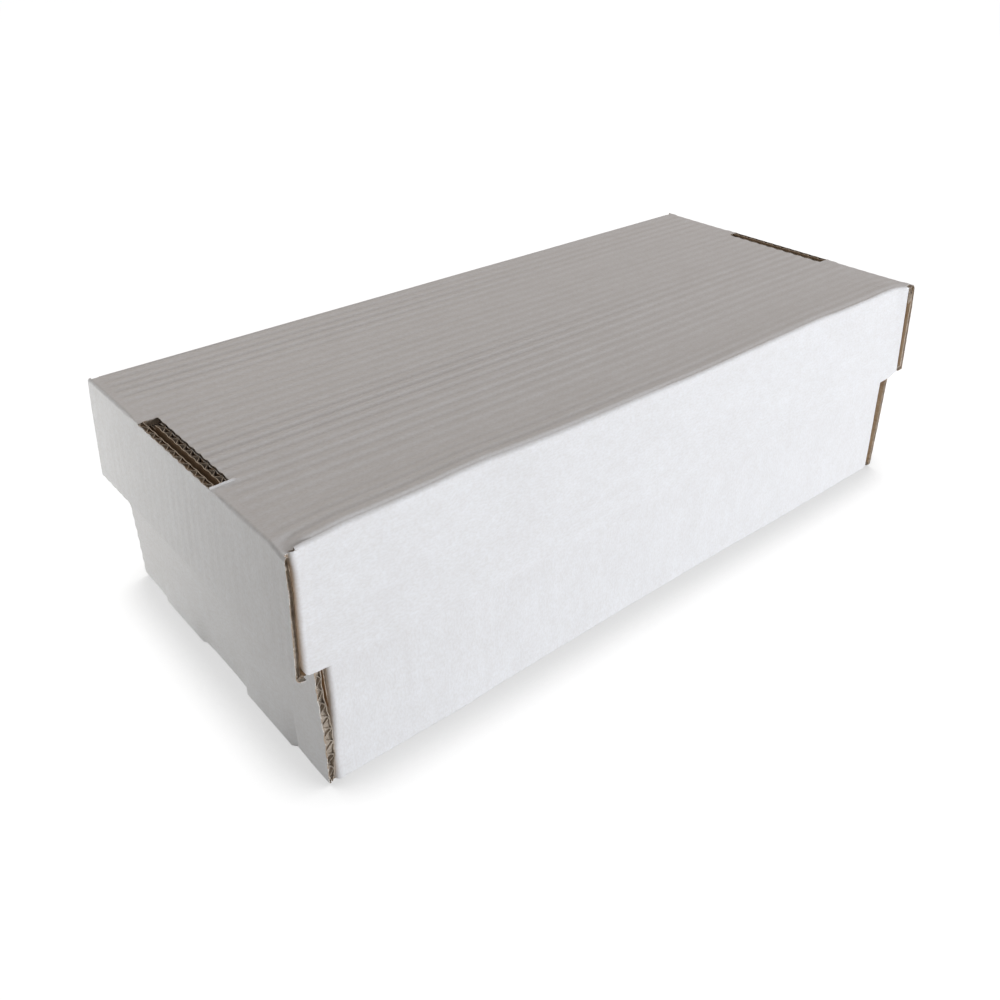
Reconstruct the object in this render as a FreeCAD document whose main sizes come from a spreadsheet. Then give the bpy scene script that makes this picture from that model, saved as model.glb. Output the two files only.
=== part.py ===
"""Card storage box for trading cards in rigid holders: a base tray and a lift-off lid.

Each of the two is one die-cut sheet of single-wall corrugated board, folded up:
  - the main panel carries two long walls, one layer thick;
  - each long wall ends in two dust flaps, folded in behind the end walls;
  - each end wall folds up over the dust flaps, rolls over at the rim and comes down inside them;
  - tabs on its free edge lock into slots that are cut at the main panel's end creases.

Both trays are drawn the same way up, main panel down. The lid is then turned over onto the base.
Frame: origin at the middle of the footprint, +X along the box, +Z up, millimetres.
"""
import FreeCAD, Part
import math
import os

import Sketcher
from FreeCAD import Placement, Rotation, Vector

# ---------------------------------------------------------------- driving dimensions

SIZES = [
    ("board", 2.75, "thickness of the board, B flute"),
    ("overlap", 1.0, "how far one drawn panel runs into the next, so that they fuse"),
    ("liner", 0.35, "thickness of each of the board's two flat liners"),
    ("medium", 0.3, "thickness of the fluted sheet between the liners"),
    ("flute_pitch", 6.4, "distance from one flute to the next"),
    ("flute_land", 0.8, "width over which a flute's tip is glued to a liner"),
    ("mouth_depth", 4.0, "how deep the flutes stand open at a cut edge"),
    ("groove_width", 1.1, "opening between the liners at an edge cut along the flutes"),
    ("groove_depth", 2.0, "depth of that opening"),
    ("crease_radius", 3.1, "outside radius where a wall folds up from the main panel"),
    ("rim_radius", 3.3, "outside radius of the two folds of a rolled rim"),
    ("layer_gap", 0.1, "play between folded layers of one sheet"),
    ("corner_round", 2.5, "rounded corner of a long wall at its dust flap"),
    ("rim_drop", 0.2, "how far a long wall's cut edge stays under the rolled rim"),
    ("rim_corner", 1.0, "rounding of a rolled rim at the box's corners"),
    ("slot_play", 0.35, "play between a locking tab and its slot, across the board"),
    ("edge_recess", 0.3, "how far an end wall's cut edge stays inside the slot's mouth"),
    ("tab_recess", 0.8, "how far a tab's tip stays inside the slot's mouth"),
    ("tab_round", 2.0, "rounded corners of a tab"),
    ("flap_round", 6.0, "rounded corners of a dust flap's free edge"),
    ("lid_length", 390.0, "outside length of the lid"),
    ("lid_width", 176.0, "outside width of the lid"),
    ("lid_depth", 51.0, "outside depth of the lid's walls"),
    ("lid_flap", 52.0, "how far a dust flap of the lid reaches in from the long wall"),
    ("lid_slot", 66.0, "length of the lid's slot"),
    ("lid_tab", 60.5, "length of the lid's locking tab"),
    ("lid_tab_shift", 2.0, "how far the lid's tabs sit off the middle of their slots"),
    ("base_height", 108.0, "outside height of the base tray"),
    ("base_flap", 60.0, "how far a dust flap of the base reaches in from the long wall"),
    ("base_slot", 41.0, "length of each of the base's slots"),
    ("base_tab", 37.0, "length of each of the base's locking tabs"),
    ("base_pair", 40.0, "distance of the base's slots from the middle"),
    ("end_clearance", 1.25, "play between base and lid at each end"),
    ("side_clearance", 0.25, "play between base and lid at each long side"),
    ("rest_gap", 0.25, "play between the base's rim and the underside of the lid's panel"),
]

doc = FreeCAD.newDocument("card_storage_box")
sheet = doc.addObject("Spreadsheet::Sheet", "sizes")
for row, (alias, value, note) in enumerate(SIZES, start=1):
    sheet.set("A%d" % row, alias)
    sheet.set("B%d" % row, str(value))
    sheet.set("C%d" % row, note)
    sheet.setAlias("B%d" % row, alias)
doc.recompute()

# Sizes that follow from the driving ones: what fits inside what.
FITS = [
    ("end_stack", "3 * sizes.board + 2 * sizes.layer_gap"),
    ("slot_depth", "fits.end_stack + sizes.slot_play"),
    ("inner_step", "sizes.board + sizes.layer_gap"),
    ("base_length", "sizes.lid_length - 2 * fits.end_stack - 2 * sizes.end_clearance"),
    ("base_width", "sizes.lid_width - 2 * sizes.board - 2 * sizes.side_clearance"),
    ("total_height", "sizes.base_height + sizes.rest_gap + sizes.board"),
    ("mouth_base", "(sizes.flute_pitch - sizes.flute_land) / 2"),
    ("mouth_tip", "(sizes.flute_land - sizes.medium) / 2"),
    ("mouth_end", "sizes.flute_pitch / 4 + fits.mouth_base + sizes.liner"),
]
fits = doc.addObject("App::VarSet", "fits")
for name, _ in FITS:
    fits.addProperty("App::PropertyFloat", name)
for name, formula in FITS:
    fits.setExpression(name, formula)
doc.recompute()

# ---------------------------------------------------------------- drawing helpers

# Frames of an open edge: along the cut, across the board, into the board.
LOOKING_DOWN = Rotation(Vector(1, 0, 0), Vector(0, -1, 0), Vector(0, 0, -1), "ZXY")
LOOKING_ACROSS = Rotation(Vector(0, 0, 1), Vector(-1, 0, 0), Vector(0, -1, 0), "ZXY")
LOOKING_UP = Rotation(Vector(0, 1, 0), Vector(-1, 0, 0), Vector(0, 0, 1), "ZXY")

PLANES = {
    "XY": Rotation(),
    "XZ": Rotation(Vector(1, 0, 0), 90),
    "YZ": Rotation(Vector(1, 1, 1), 120),
}
reader = doc.addObject("App::VarSet", "reader")
reader.addProperty("App::PropertyFloat", "value")


def number(formula):
    """The present value of a formula."""
    reader.setExpression("value", formula)
    doc.recompute([reader])
    return reader.value


def bound(sketch, kind, geometry, value, formula):
    """Add a dimension to the sketch and tie it to its formula."""
    index = sketch.addConstraint(Sketcher.Constraint(kind, *geometry, value))
    sketch.setExpression("Constraints[%d]" % index, formula)


def outline(name, plane, corners, closed):
    """A sketch on one of the main planes, holding one wire through the corners."""
    sketch = doc.addObject("Sketcher::SketchObject", name)
    sketch.Placement = Placement(Vector(), PLANES[plane])
    draw_wire(sketch, corners, closed)
    return sketch


def draw_wire(sketch, corners, closed=True):
    """Lines through corners (across, up, radius), each a formula; radius None stays sharp.

    A rounded corner is an arc tangent to both its sides, and its formulas place the point
    where the sides would meet.
    """
    points = [Vector(number(across), number(up), 0) for across, up, _ in corners]
    radii = [number(radius) if radius else 0.0 for _, _, radius in corners]
    count = len(corners)

    starts, ends, arcs, left_turn = {}, {}, {}, {}
    for i in range(count):
        starts[i] = ends[i] = points[i]
        if radii[i]:
            before = (points[i - 1] - points[i]).normalize()
            after = (points[(i + 1) % count] - points[i]).normalize()
            reach = radii[i] / math.tan(before.getAngle(after) / 2)
            ends[i] = points[i] + before * reach
            starts[i] = points[i] + after * reach
            centre = points[i] + (before + after).normalize() * math.hypot(reach, radii[i])
            left_turn[i] = after.cross(before).z > 0
            first, last = (ends[i], starts[i]) if left_turn[i] else (starts[i], ends[i])
            angles = [math.atan2(p.y - centre.y, p.x - centre.x) for p in (first, last)]
            if angles[1] < angles[0]:
                angles[1] += 2 * math.pi
            arcs[i] = Part.ArcOfCircle(Part.Circle(centre, Vector(0, 0, 1), radii[i]), *angles)

    sides = count if closed else count - 1
    lines = [sketch.addGeometry(Part.LineSegment(starts[i], ends[(i + 1) % count]), False)
             for i in range(sides)]
    for i in range(count):
        across, up, radius = corners[i]
        if i in arcs:
            arc = sketch.addGeometry(arcs[i], False)
            corner = sketch.addGeometry(Part.Point(points[i]), True)
            begins = 1 if left_turn[i] else 2
            incoming, outgoing = lines[i - 1], lines[i]
            sketch.addConstraint(Sketcher.Constraint("Tangent", incoming, 2, arc, begins))
            sketch.addConstraint(Sketcher.Constraint("Tangent", arc, 3 - begins, outgoing, 1))
            sketch.addConstraint(Sketcher.Constraint("PointOnObject", corner, 1, incoming))
            sketch.addConstraint(Sketcher.Constraint("PointOnObject", corner, 1, outgoing))
            bound(sketch, "Radius", (arc,), radii[i], radius)
            held = (corner, 1)
        elif i == sides:
            held = (lines[-1], 2)
        else:
            held = (lines[i], 1)
            if closed or i > 0:
                joint = Sketcher.Constraint("Coincident", lines[i - 1], 2, lines[i], 1)
                sketch.addConstraint(joint)
        bound(sketch, "DistanceX", (-1, 1) + held, points[i].x, across)
        bound(sketch, "DistanceY", (-1, 1) + held, points[i].y, up)


def extruded(name, face, length, symmetric, **moves):
    """Push a face along its plane's normal, then move the result along x, y or z."""
    solid = doc.addObject("Part::Extrusion", name)
    solid.Base = face
    solid.DirMode = "Normal"
    solid.Solid = True
    solid.Symmetric = symmetric
    solid.setExpression("LengthFwd", length)
    for axis, formula in moves.items():
        solid.setExpression("Placement.Base." + axis, formula)
    return solid


def folded(name, plane, corners, length, symmetric=True, **moves):
    """Board bent along a fold line drawn on its outside, the inside lying to its left."""
    line = outline(name + "_line", plane, corners, closed=False)
    doc.recompute()
    section = doc.addObject("Part::Offset2D", name + "_section")
    section.Source = line
    section.Mode = "Skin"
    section.setExpression("Value", "sizes.board" if plane == "XZ" else "-sizes.board")
    section.Fill = True
    return extruded(name, section, length, symmetric, **moves)


def shaped(name, plane, corners, length, symmetric=True, **moves):
    """A solid with the given closed outline, for a tab or for what is cut away."""
    face = outline(name + "_line", plane, corners, closed=True)
    return extruded(name, face, length, symmetric, **moves)


def mirrored(source, name, **normal):
    """The same piece at the other end (x=1) or the other side (y=1)."""
    copy = doc.addObject("Part::Mirroring", name)
    copy.Source = source
    copy.Normal = Vector(normal.get("x", 0), normal.get("y", 0), 0)
    return copy


def fused(name, pieces):
    whole = doc.addObject("Part::MultiFuse", name)
    whole.Shapes = pieces
    whole.Refine = True
    return whole


def cut(name, base, tool):
    rest = doc.addObject("Part::Cut", name)
    rest.Base = base
    rest.Tool = tool
    rest.Refine = True
    return rest


def rectangle(left, right, low, high):
    return [(left, low, None), (right, low, None), (right, high, None), (left, high, None)]


def rounded_corner_waste(across, up, radius):
    """What a rounded corner at (across, up) loses, from a board lying right of and below it."""
    clear = "sizes.overlap"
    return [
        ("%s - %s" % (across, clear), "%s + %s" % (up, clear), None),
        ("%s - %s" % (across, clear), "%s - %s - %s" % (up, radius, clear), None),
        (across, "%s - %s - %s" % (up, radius, clear), None),
        (across, up, radius),
        ("%s + %s + %s" % (across, radius, clear), up, None),
        ("%s + %s + %s" % (across, radius, clear), "%s + %s" % (up, clear), None),
    ]


# ---------------------------------------------------------------- open board edges

def edge_cells(name, frame, run, crosses, **place):
    """What an open cut edge of the board lacks: a row of flute mouths, or a groove along them.

    The edge's own frame has +X along the cut, from its middle, +Y from one face of the board
    to the other, and +Z into the board. frame is its rotation and place its middle.
    """
    body = doc.addObject("PartDesign::Body", name)
    body.AllowCompound = True
    body.Placement = Placement(Vector(), frame)
    for axis, formula in place.items():
        body.setExpression("Placement.Base." + axis, formula)
    origin = {feature.Role: feature for feature in body.Origin.OriginFeatures}
    section = body.newObject("Sketcher::SketchObject", name + "_section")
    section.AttachmentSupport = [(origin["XY_Plane"], "")]
    section.MapMode = "FlatFace"
    section.setExpression("AttachmentOffset.Base.z", "-sizes.overlap")

    if crosses:
        count = "floor((%s - 2 * fits.mouth_end) / sizes.flute_pitch) + 1" % run
        first = "-sizes.flute_pitch * ((%s) - 1) / 2" % count
        near, far = "sizes.liner", "sizes.board - sizes.liner"
        draw_wire(section, mouth(first + " - sizes.flute_pitch / 4", near,
                                 far + " - sizes.medium"))
        draw_wire(section, mouth(first + " + sizes.flute_pitch / 4", far,
                                 near + " + sizes.medium"))
        depth = "sizes.mouth_depth"
    else:
        near = "(sizes.board - sizes.groove_width) / 2"
        far = "(sizes.board + sizes.groove_width) / 2"
        draw_wire(section, rectangle("-(%s) / 2" % run, "(%s) / 2" % run, near, far))
        depth = "sizes.groove_depth"
    pad = body.newObject("PartDesign::Pad", name + "_pad")
    pad.Profile = section
    pad.setExpression("Length", depth + " + sizes.overlap")
    if crosses:
        row = body.newObject("PartDesign::LinearPattern", name + "_row")
        row.Originals = [pad]
        row.Direction = (origin["X_Axis"], [""])
        row.Mode = "Spacing"
        row.setExpression("Offset", "sizes.flute_pitch")
        row.setExpression("Occurrences", count)
        body.Tip = row
    return body


def mouth(middle, base, tip):
    """The opening between a flute and a liner, broad at the liner, as a closed outline."""
    return [
        ("%s - fits.mouth_base" % middle, base, None),
        ("%s + fits.mouth_base" % middle, base, None),
        ("%s + fits.mouth_tip" % middle, tip, None),
        ("%s - fits.mouth_tip" % middle, tip, None),
    ]


# ---------------------------------------------------------------- one folded tray

def tray(label, length, width, depth, flap, slot, tab, places, tab_shift, flutes_along):
    """A roll-over tray, main panel down on z = 0; every size is a formula.

    places lists how far each slot sits from the middle of its end. The flutes run along the
    tray's length if flutes_along is set, and across it otherwise.
    """
    half_length, half_width = "(%s) / 2" % length, "(%s) / 2" % width
    flap_face = half_length + " - fits.inner_step"               # outside of a dust flap
    side_end = flap_face + " - sizes.crease_radius"              # where a side starts to turn
    inner_face = half_length + " - fits.end_stack"               # inside of an end wall
    rim_edge = depth + " - sizes.rim_drop"                       # cut edge of a long wall
    flap_top = depth + " - fits.inner_step"                      # a dust flap, under the rim
    overlap, beyond = "sizes.overlap", "2 * sizes.board"

    def name(piece):
        return "%s_%s" % (label, piece)

    def all_ends(piece):
        return [piece, mirrored(piece, piece.Name + "_far", x=1)]

    def all_corners(piece):
        return [each for end in all_ends(piece)
                for each in (end, mirrored(end, end.Name + "_back", y=1))]

    # main panel and both long walls
    sides = folded(name("sides"), "YZ", [
        ("-" + half_width, rim_edge, None),
        ("-" + half_width, "0", "sizes.crease_radius"),
        (half_width, "0", "sizes.crease_radius"),
        (half_width, rim_edge, None),
    ], "2 * (%s)" % side_end)

    # a long wall's turn behind the end wall, with the dust flap that follows it
    turn = folded(name("turn"), "XY", [
        (flap_face, "%s - (%s)" % (half_width, flap), None),
        (flap_face, half_width, "sizes.crease_radius"),
        ("%s - 2 * sizes.crease_radius" % flap_face, half_width, None),
    ], "%s - fits.inner_step" % rim_edge, symmetric=False, z="fits.inner_step")
    over_flap = shaped(name("over_flap"), "XZ", [
        ("%s - fits.inner_step" % flap_face, "%s + %s" % (depth, overlap), None),
        ("%s - fits.inner_step" % flap_face, rim_edge, None),
        (flap_face, rim_edge, "sizes.corner_round"),
        (flap_face, flap_top, None),
        ("%s + %s" % (flap_face, overlap), flap_top, None),
        ("%s + %s" % (flap_face, overlap), "%s + %s" % (depth, overlap), None),
    ], "2 * " + width)
    flap_corner = shaped(
        name("flap_corner"), "YZ",
        rounded_corner_waste("%s - (%s)" % (half_width, flap), flap_top, "sizes.flap_round"),
        half_length, symmetric=False)
    turn = cut(name("turn_cut"), turn, over_flap)
    turn = cut(name("flap"), turn, flap_corner)

    # end wall: up from the panel, over the rim and down inside the dust flaps
    end = folded(name("end"), "XZ", [
        ("%s - %s" % (side_end, overlap), "0", None),
        (half_length, "0", "sizes.crease_radius"),
        (half_length, depth, "sizes.rim_radius"),
        (inner_face, depth, "sizes.rim_radius"),
        (inner_face, "fits.inner_step", None),
    ], width)
    past_side = "%s + %s" % (half_width, overlap)
    between_sides = shaped(
        name("between_sides"), "XZ",
        rectangle("%s - %s" % (inner_face, beyond), "%s - sizes.board" % half_length,
                  "fits.inner_step / 2", "%s + %s" % (depth, overlap)),
        "fits.inner_step + " + overlap, symmetric=False, y=past_side)
    between_creases = shaped(
        name("between_creases"), "XZ",
        rectangle("%s - %s" % (side_end, beyond), "%s - sizes.board" % half_length,
                  "-" + overlap, "fits.inner_step"),
        "sizes.crease_radius + " + overlap, symmetric=False, y=past_side)
    rim_corner = shaped(
        name("rim_corner"), "YZ",
        rounded_corner_waste("-" + half_width, depth, "sizes.rim_corner"), "2 * " + length)
    for trim in (between_sides, between_creases, rim_corner):
        for side in (trim, mirrored(trim, trim.Name + "_back", y=1)):
            end = cut(side.Name + "_cut", end, side)

    folds = fused(name("folds"), [sides] + all_ends(end))

    # locking slots at the end creases, the cut edge that stands in each, and its tab
    slots, fillings = [], []
    for i, place in enumerate(places, start=1):
        gap = shaped(name("slot_%d" % i), "XZ", [
            ("%s - fits.slot_depth" % half_length, "-" + overlap, None),
            ("%s + %s" % (half_length, overlap), "-" + overlap, None),
            ("%s + %s" % (half_length, overlap), "sizes.crease_radius", None),
            ("%s - sizes.crease_radius" % half_length, "sizes.crease_radius", None),
            ("%s - sizes.crease_radius" % half_length, "fits.inner_step", None),
            ("%s - fits.slot_depth" % half_length, "fits.inner_step", None),
        ], slot, y=place)
        edge = shaped(
            name("slot_edge_%d" % i), "XZ",
            rectangle("%s - sizes.board" % half_length, half_length,
                      "sizes.edge_recess", "sizes.crease_radius + " + overlap),
            slot, y=place)
        left = "%s + %s - (%s) / 2" % (place, tab_shift, tab)
        right = "%s + %s + (%s) / 2" % (place, tab_shift, tab)
        tongue = shaped(name("tab_%d" % i), "YZ", [
            (left, "sizes.tab_recess", "sizes.tab_round"),
            (right, "sizes.tab_recess", "sizes.tab_round"),
            (right, "fits.inner_step + " + overlap, None),
            (left, "fits.inner_step + " + overlap, None),
        ], "sizes.board", symmetric=False, x=inner_face)
        slots += all_ends(gap)
        fillings += all_ends(edge) + all_ends(tongue)
    slotted = cut(name("slotted"), folds, fused(name("slots"), slots))
    whole = fused(name("sheet"), [slotted] + all_corners(turn) + fillings)

    # open edges: long rims and end-wall sides cross flutes that run across, slots and tabs
    # those that run along
    rim_cells = edge_cells(name("rim_cells"), LOOKING_DOWN, "2 * (%s)" % side_end,
                           not flutes_along, y=half_width, z=rim_edge)
    side_run = "%s - sizes.crease_radius - sizes.rim_radius" % depth
    side_cells = edge_cells(name("side_cells"), LOOKING_ACROSS, side_run, not flutes_along,
                            x=half_length, y=half_width,
                            z="sizes.crease_radius + (%s) / 2" % side_run)
    openings = [rim_cells, mirrored(rim_cells, rim_cells.Name + "_back", y=1)]
    openings += all_corners(side_cells)
    for i, place in enumerate(places, start=1):
        slot_cells = edge_cells(name("slot_cells_%d" % i), LOOKING_UP, slot, flutes_along,
                                x=half_length, y=place, z="sizes.edge_recess")
        tab_cells = edge_cells(name("tab_cells_%d" % i), LOOKING_UP,
                               tab + " - 2 * sizes.tab_round", flutes_along,
                               x=inner_face + " + sizes.board",
                               y="%s + %s" % (place, tab_shift), z="sizes.tab_recess")
        openings += all_ends(slot_cells) + all_ends(tab_cells)
    open_edges = doc.addObject("Part::Compound", name("open_edges"))
    open_edges.Links = openings
    board = cut(label, whole, open_edges)
    board.Label = label
    return board


# ---------------------------------------------------------------- the two trays

base = tray("base_tray", "fits.base_length", "fits.base_width", "sizes.base_height",
            "sizes.base_flap", "sizes.base_slot", "sizes.base_tab",
            ["sizes.base_pair", "-sizes.base_pair"], "0", flutes_along=False)
lid = tray("lid", "sizes.lid_length", "sizes.lid_width", "sizes.lid_depth",
           "sizes.lid_flap", "sizes.lid_slot", "sizes.lid_tab", ["0"], "sizes.lid_tab_shift",
           flutes_along=True)
lid.Placement = Placement(Vector(), Rotation(Vector(1, 0, 0), 180))
lid.setExpression("Placement.Base.z", "fits.total_height")
doc.recompute()

# ---------------------------------------------------------------- checks and files

for item in doc.Objects:
    if "Invalid" in item.State or "Error" in item.State:
        raise RuntimeError("%s did not build: %s" % (item.Name, item.State))

os.makedirs("parts", exist_ok=True)
for piece in (base, lid):
    shape = piece.Shape
    if shape.isNull() or not shape.isValid() or len(shape.Solids) != 1:
        raise RuntimeError("%s is not one sound solid" % piece.Label)
    shape.exportStep("parts/%s.step" % piece.Label)
    print(piece.Label, "volume %.0f mm3" % shape.Volume, shape.BoundBox)
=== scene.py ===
"""Looks of the card storage box: two trays folded from corrugated board, white outside.

Each tray is made as its die-cut blank: a flat grid in which every cell is a bit of board. The
blank is then folded, by a mapping from the flat sheet to the folded tray, into one closed mesh
whose cut edges stand open between the two liners, with the fluted sheet inside them.

On a blank, u runs along the tray and v across it, both from the middle of the main panel, and
depth runs into the board from its white face. Lengths are in millimetres until a mesh is stored.
"""
import math

import bpy
from mathutils import Euler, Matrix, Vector


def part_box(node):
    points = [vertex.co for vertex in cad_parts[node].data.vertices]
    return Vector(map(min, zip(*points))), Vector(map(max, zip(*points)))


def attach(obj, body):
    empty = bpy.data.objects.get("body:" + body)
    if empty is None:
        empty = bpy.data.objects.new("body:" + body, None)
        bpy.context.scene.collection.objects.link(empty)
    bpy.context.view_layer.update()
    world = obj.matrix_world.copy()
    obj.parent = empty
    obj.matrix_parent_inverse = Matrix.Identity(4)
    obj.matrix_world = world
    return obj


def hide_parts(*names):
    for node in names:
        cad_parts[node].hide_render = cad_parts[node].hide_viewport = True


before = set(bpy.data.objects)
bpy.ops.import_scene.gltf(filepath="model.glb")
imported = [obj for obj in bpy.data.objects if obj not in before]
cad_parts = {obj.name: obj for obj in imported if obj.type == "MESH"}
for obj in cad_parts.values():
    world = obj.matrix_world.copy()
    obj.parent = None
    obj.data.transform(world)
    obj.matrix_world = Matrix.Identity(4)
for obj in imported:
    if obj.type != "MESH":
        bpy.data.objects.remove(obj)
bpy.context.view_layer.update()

MM = 0.001


def box_size(node):
    """A CAD node's length, width and height in millimetres."""
    low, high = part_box(node)
    return [round((end - start) / MM, 2) for start, end in zip(low, high)]


BASE_SIZE, LID_SIZE = box_size("base_tray"), box_size("lid")
BASE_HEIGHT, LID_DEPTH = BASE_SIZE[2], LID_SIZE[2]
BOX_TOP = round(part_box("lid")[1][2] / MM, 2)

# ---------------------------------------------------------------- the board

BOARD = 2.75            # thickness of the whole board
LINER = 0.35            # of each liner
MEDIUM = 0.3            # and of the fluted sheet between them
PITCH = 6.4             # from one flute to the next
PLAY = 0.1              # between folded layers of one sheet
LAYER = BOARD + PLAY
STACK = 3 * BOARD + 2 * PLAY           # the three layers of an end wall

RIM = 3.3               # outside radius of a rolled rim
CRUSHED = 0.3           # inside radius left where a tight crease has crushed the board
CRUSH_RUN = 3.0         # over how much of the flat sheet the crushing fades
QUARTER = math.pi / 2

SLOT_DEPTH = STACK + 0.35              # from the end to a slot's inner edge
EDGE_RECESS = 0.3       # an end wall's edge in a slot stops this far inside the panel's face
TAB_RECESS = 0.8        # and the tip of a tab this far
ROLL_EASE = 1.2         # how much narrower the rolled-in panel is than the space it fills
ROLL_START = 0.8        # how far past the rim's top it narrows
SPREAD_SHARE = 0.15     # of the end crease, before the end strip gains its full width
TURN_SHARE = 5 / 8      # of the side crease, before the cut edge of a long wall at its turn

POCKET = 5.0            # how deep the flutes are modelled at a cut edge
SLIT_POCKET = 0.5       # and at the short sides of a slot
POCKET_BACK = 0.6       # how far the fluted sheet runs on behind a pocket
MEDIUM_RECESS = 0.1     # the fluted sheet ends this far inside the cut
NEAR_CUT = 0.16         # how far the liners follow the flutes beside a cut across them

LIP_WIDTH = 0.55        # of the strip torn up beside the lid's left slot
SLOT_SIGHT = 50.0       # how far from the middle a cut across the flutes is open to view
WANDER_RUN = 30.0       # over how much of the panel a wandering crease shifts the sheet
WANDER_LEFT = 12.0      # and over how much of the left and the right end wall
WANDER_RIGHT = 5.0
COARSE = 14.0           # the grid's widest cell along the flutes
TINY = 1e-6

# Of the finishes, the flute hollows are painted shade, and the worn edge is crushed board painted
# darker as shade.
WHITE, KRAFT, CUT, FLUTE, INSIDE, HOLLOW_SHADE, WHITE_CUT, WORN_AND_SHADED = range(8)     # finishes


def rise(x, start, end):
    """0 up to start, 1 from end, and a smooth S between them; start may be the greater."""
    t = min(max((x - start) / (end - start), 0.0), 1.0)
    return t * t * (3 - 2 * t)


def along_curve(points, x, eased=False):
    """The value at x of a curve through the points (x, value), straight or eased between them."""
    for (low, start), (high, end) in zip(points, points[1:]):
        if x <= high:
            break
    share = rise(x, low, high) if eased else min(max((x - low) / (high - low), 0), 1)
    return start + (end - start) * share


def divided(low, high, parts):
    return [low + (high - low) * k / parts for k in range(parts + 1)]


def merged(marks, gap=0.12):
    """The sorted marks, without those that all but repeat the one before."""
    kept = []
    for mark in marks:
        if not kept or mark - kept[-1] > gap:
            kept.append(mark)
    return kept


def crushed(depth, along, start, end, radius):
    """The depth where a crease tighter than the board is thick has squeezed it."""
    squeeze = min(1.0, (radius - CRUSHED) / BOARD)
    away = max(start - along, along - end, 0.0)
    return depth * (1 - (1 - squeeze) * rise(away, CRUSH_RUN, 0))


def square_corner(along, start, end, size):
    """How far a place on a bend lies along each of its two straight sides, if it is square."""
    run = 2 * (along - start) / (end - start)
    return min(run, 1) * size, max(run - 1, 0) * size


class FoldLine:
    """The outside line of bent board: runs of (length, radius), radius 0 for a straight one."""

    def __init__(self, *runs):
        self.runs = []
        along = x = y = heading = 0.0
        for length, radius in runs:
            self.runs.append((along, x, y, heading, radius))
            x, y, heading = self.step(x, y, heading, radius, length)
            along += length

    @staticmethod
    def step(x, y, heading, radius, run):
        if not radius:
            return x + run * math.cos(heading), y + run * math.sin(heading), heading
        turned = heading + run / radius
        return (x + radius * (math.sin(turned) - math.sin(heading)),
                y - radius * (math.cos(turned) - math.cos(heading)), turned)

    def at(self, along, depth):
        """The place at a length along the line and a depth under it."""
        for start, x, y, heading, radius in reversed(self.runs):
            if along >= start:
                break
        x, y, heading = self.step(x, y, heading, radius, along - start)
        return x - depth * math.sin(heading), y + depth * math.cos(heading)


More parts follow.
